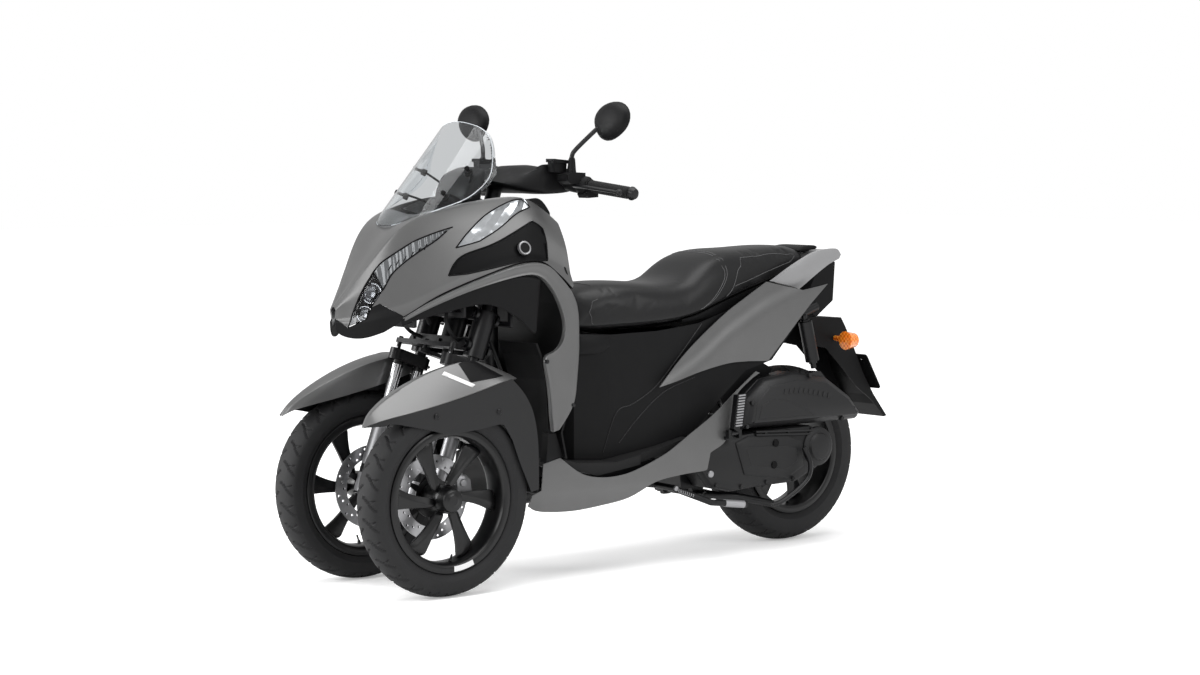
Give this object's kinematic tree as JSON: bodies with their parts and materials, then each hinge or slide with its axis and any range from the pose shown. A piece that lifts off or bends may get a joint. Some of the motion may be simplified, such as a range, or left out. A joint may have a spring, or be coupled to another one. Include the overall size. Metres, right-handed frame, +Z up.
{
  "type": "reverse trike leaning scooter",
  "caption": "Leaning step-through scooter with two steered front wheels on cantilever forks, one driven rear wheel, screen, seat and stands.",
  "frame": {"origin": "on the floor under the middle of the bounding box", "axes": "+X forward, +Y to the rider's left, +Z up"},
  "size_m": [1.978, 0.7516, 1.2675],
  "materials": {
    "grey_panel": "satin grey paint",
    "rail_grey": "satin grey",
    "black_plastic": "grained black",
    "gloss_black": "smooth",
    "lens_dark": "smoked lens",
    "lens_clear": "clear lens",
    "screen": "clear",
    "lens_orange": "orange lens",
    "lens_red": "red lens",
    "frame_black": "satin black",
    "steel": "machined",
    "chrome": "polished",
    "cast_grey": "satin cast",
    "tyre": "rubber",
    "wheel_black": "satin black",
    "rubber": "ribbed",
    "seat": "grained vinyl",
    "muffler": "heat paint"
  },
  "bodies": {
    "chassis": {"nose_cover": "grey_panel", "side_cowls": "grey_panel", "leg_shields": "grey_panel", "floor_side_covers": "grey_panel", "rear_side_covers": "grey_panel", "grab_rail": "rail_grey", "headlamp": "lens_dark", "position_lamps": "lens_clear", "side_lamps": "lens_clear", "beak": "black_plastic", "vent_panels": "black_plastic", "arch_liners": "black_plastic", "dash_cover": "black_plastic", "inner_leg_shield": "black_plastic", "windscreen": "screen", "frame": "frame_black", "tilt_arms": "frame_black", "steering_tubes": "frame_black", "floor_board": "rubber", "centre_cover": "black_plastic", "storage_tub": "black_plastic", "tail_cover": "black_plastic", "tail_lamp": "lens_red", "rear_fender": "black_plastic", "rear_indicators": "lens_orange", "engine_block": "cast_grey", "transmission_case": "cast_grey", "air_cleaner": "black_plastic", "muffler": "muffler", "rear_shocks": "frame_black"},
    "handlebar": {"handlebar": "frame_black", "handlebar_cover": "black_plastic", "grips": "rubber", "levers": "frame_black", "mirrors": "black_plastic"},
    "tie_rod": {"tie_rod": "frame_black"},
    "rear_wheel": {"tyre_rear": "tyre", "wheel_rear": "wheel_black"},
    "centre_stand": {"centre_stand": "frame_black"},
    "side_stand": {"side_stand": "frame_black"},
    "seat": {"seat": "seat"},
    "fork_left": {"fork_left": "steel", "fender_left": "grey_panel", "fender_skirt_left": "black_plastic", "caliper_left": "steel"},
    "front_wheel_left": {"tyre_front_left": "tyre", "wheel_front_left": "wheel_black", "disc_front_left": "steel"},
    "peg_left": {"peg_left": "steel"},
    "fork_right": {"fork_right": "steel", "fender_right": "grey_panel", "fender_skirt_right": "black_plastic", "caliper_right": "steel"},
    "front_wheel_right": {"tyre_front_right": "tyre", "wheel_front_right": "wheel_black", "disc_front_right": "steel"},
    "peg_right": {"peg_right": "steel"}
  },
  "joints": [
    {"name": "steering", "type": "hinge", "parent": "chassis", "child": "handlebar", "pos_m": [0.55322, 0, 0.7], "axis": [-0.342, 0, 0.9397], "range_deg": [-35, 35]},
    {"name": "fork_left_steer", "type": "hinge", "parent": "chassis", "child": "fork_left", "pos_m": [0.55322, 0.118, 0.7], "axis": [-0.342, 0, 0.9397], "range_deg": [-35, 35]},
    {"name": "fork_right_steer", "type": "hinge", "parent": "chassis", "child": "fork_right", "pos_m": [0.55322, -0.118, 0.7], "axis": [-0.342, 0, 0.9397], "range_deg": [-35, 35]},
    {"name": "tie_rod_pivot", "type": "hinge", "parent": "handlebar", "child": "tie_rod", "pos_m": [0.66555, 0, 0.61065], "axis": [-0.342, 0, 0.9397], "range_deg": [-35, 35]},
    {"name": "spin_front_left", "type": "hinge", "parent": "fork_left", "child": "front_wheel_left", "pos_m": [0.74, 0.1925, 0.25], "axis": [0, 1, 0], "continuous": true},
    {"name": "spin_front_right", "type": "hinge", "parent": "fork_right", "child": "front_wheel_right", "pos_m": [0.74, -0.1925, 0.25], "axis": [0, 1, 0], "continuous": true},
    {"name": "spin_rear", "type": "hinge", "parent": "chassis", "child": "rear_wheel", "pos_m": [-0.61, 0, 0.256], "axis": [0, 1, 0], "continuous": true},
    {"name": "centre_stand_pivot", "type": "hinge", "parent": "chassis", "child": "centre_stand", "pos_m": [-0.225, 0, 0.172], "axis": [0, -1, 0], "range_deg": [0, 80]},
    {"name": "side_stand_pivot", "type": "hinge", "parent": "chassis", "child": "side_stand", "pos_m": [-0.06, 0.16, 0.21], "axis": [0, -1, 0], "range_deg": [0, 100]},
    {"name": "seat_hinge", "type": "hinge", "parent": "chassis", "child": "seat", "pos_m": [0.258, 0, 0.651], "axis": [0, 1, 0], "range_deg": [0, 50]},
    {"name": "peg_left_fold", "type": "hinge", "parent": "chassis", "child": "peg_left", "pos_m": [-0.238, 0.211, 0.356], "axis": [-1, 0, 0], "range_deg": [0, 85]},
    {"name": "peg_right_fold", "type": "hinge", "parent": "chassis", "child": "peg_right", "pos_m": [-0.238, -0.211, 0.356], "axis": [1, 0, 0], "range_deg": [0, 85]}
  ],
  "couplings": [
    {"joint": "fork_left_steer", "follows": "steering", "ratio": 1},
    {"joint": "fork_right_steer", "follows": "steering", "ratio": 1},
    {"joint": "tie_rod_pivot", "follows": "steering", "ratio": -1}
  ]
}
